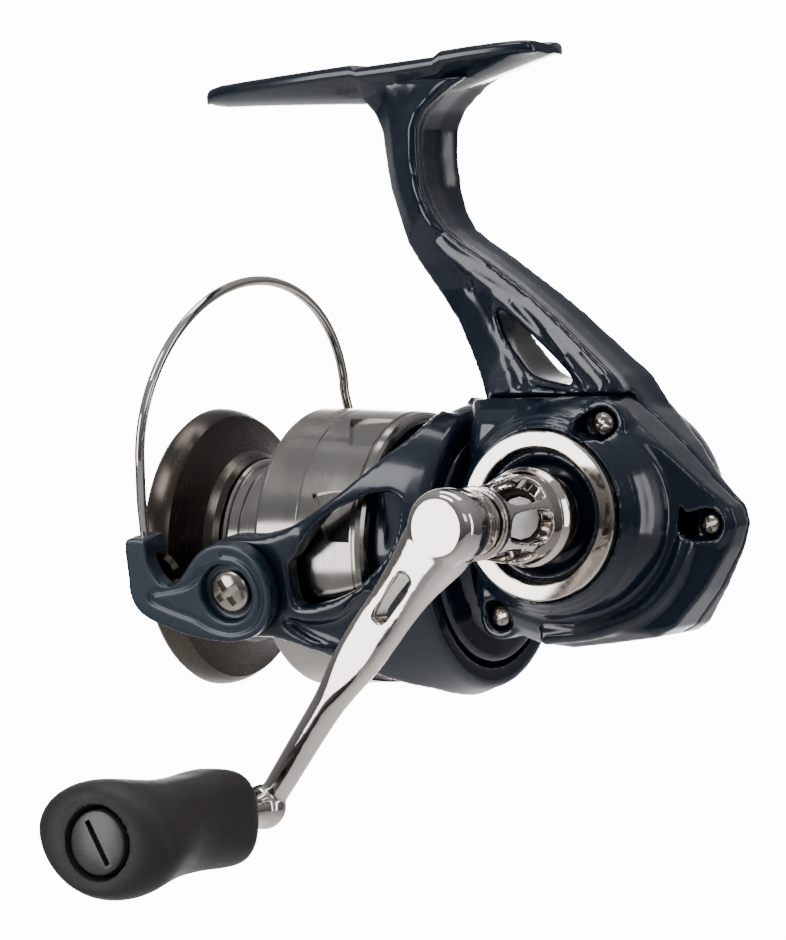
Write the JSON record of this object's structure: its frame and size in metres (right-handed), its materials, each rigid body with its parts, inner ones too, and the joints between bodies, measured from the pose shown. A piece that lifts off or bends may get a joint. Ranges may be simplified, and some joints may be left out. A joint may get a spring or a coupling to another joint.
{
  "type": "spinning reel",
  "caption": "Small front-drag spinning fishing reel with a hollow-arm rotor, one-piece wire bail, skirted spool, vented handle sleeve and oval knob.",
  "frame": {"origin": "middle of the rod foot's clamping face", "axes": "+X along the main shaft from the gear case towards the spool, +Y along the drive shaft towards the handle, +Z from the spool axis towards the rod foot"},
  "size_m": [0.0938, 0.1098, 0.1141],
  "materials": {
    "navy_paint": "gloss",
    "satin_navy_paint": "satin metallic",
    "nickel_plate": "polished",
    "steel": "turned",
    "brass": "machined",
    "aluminium": "bright anodised",
    "gunmetal_anodising": "dark anodised",
    "felt": "oiled felt",
    "rubber": "matte"
  },
  "bodies": {
    "frame": {"body_frame": "navy_paint", "side_plate": "navy_paint", "trim_ring": "nickel_plate", "side_plate_screw_upper": "nickel_plate", "side_plate_screw_rear": "nickel_plate", "side_plate_screw_front": "nickel_plate", "drive_bearing_handle_side": "steel", "drive_bearing_far_side": "steel", "pinion_bearing": "steel", "one_way_clutch": "steel", "clutch_cover": "brass"},
    "crank": {"drive_gear": "brass", "far_side_cap": "nickel_plate", "hub_sleeve": "nickel_plate", "cross_pin": "nickel_plate", "handle_arm": "nickel_plate", "knob_spindle": "steel"},
    "knob": {"handle_knob": "rubber", "knob_cap": "gunmetal_anodising"},
    "oscillation": {"oscillation_gear": "brass"},
    "shaft": {"main_shaft": "steel", "oscillation_slider": "aluminium", "click_gear": "brass", "drag_washer_keyed": "steel"},
    "spool": {"spool_body": "aluminium", "spool_flange": "gunmetal_anodising", "drag_felt_1": "felt", "drag_felt_2": "felt", "drag_felt_3": "felt", "drag_washer_eared": "steel", "drag_retainer": "steel"},
    "drag_knob": {"drag_knob": "gunmetal_anodising"},
    "rotor": {"rotor": "navy_paint", "bail_spring_cover": "navy_paint", "pinion_gear": "brass", "rotor_nut": "steel", "bail_pivot_screw": "nickel_plate", "bail_pivot_screw_far": "nickel_plate", "bail_spring": "steel"},
    "bail": {"bail_arm": "satin_navy_paint", "bail_lever": "satin_navy_paint", "bail_wire": "nickel_plate", "roller_screw": "steel"},
    "roller": {"line_roller": "steel"}
  },
  "joints": [
    {"name": "handle_turn", "type": "hinge", "parent": "frame", "child": "crank", "pos_m": [-0.0274, 0, -0.0655], "axis": [0, 1, 0], "continuous": true},
    {"name": "rotor_spin", "type": "hinge", "parent": "frame", "child": "rotor", "pos_m": [0.0333, 0, -0.0708], "axis": [1, 0, 0], "continuous": true},
    {"name": "oscillation_gear_turn", "type": "hinge", "parent": "frame", "child": "oscillation", "pos_m": [-0.0371, 0, -0.0708], "axis": [0, 1, 0], "continuous": true},
    {"name": "spool_stroke", "type": "slide", "parent": "frame", "child": "shaft", "axis": [1, 0, 0], "range_m": [0, 0.012]},
    {"name": "spool_drag_turn", "type": "hinge", "parent": "shaft", "child": "spool", "pos_m": [0.0333, 0, -0.0708], "axis": [1, 0, 0], "continuous": true},
    {"name": "drag_knob_turn", "type": "hinge", "parent": "shaft", "child": "drag_knob", "pos_m": [0.0333, 0, -0.0708], "axis": [1, 0, 0], "continuous": true},
    {"name": "bail_flip", "type": "hinge", "parent": "rotor", "child": "bail", "pos_m": [0.0188, 0, -0.0708], "axis": [0, 0.9823, -0.1874], "range_deg": [0, 105]},
    {"name": "line_roller_spin", "type": "hinge", "parent": "bail", "child": "roller", "pos_m": [0.0331, 0.0224, -0.07344], "axis": [0, 0.9823, -0.1874], "continuous": true},
    {"name": "knob_spin", "type": "hinge", "parent": "crank", "child": "knob", "pos_m": [0.00393, 0.06, -0.10447], "axis": [0, 1, 0], "continuous": true}
  ],
  "couplings": [
    {"joint": "rotor_spin", "follows": "handle_turn", "ratio": -5.1429},
    {"joint": "oscillation_gear_turn", "follows": "handle_turn", "ratio": -0.70588}
  ]
}
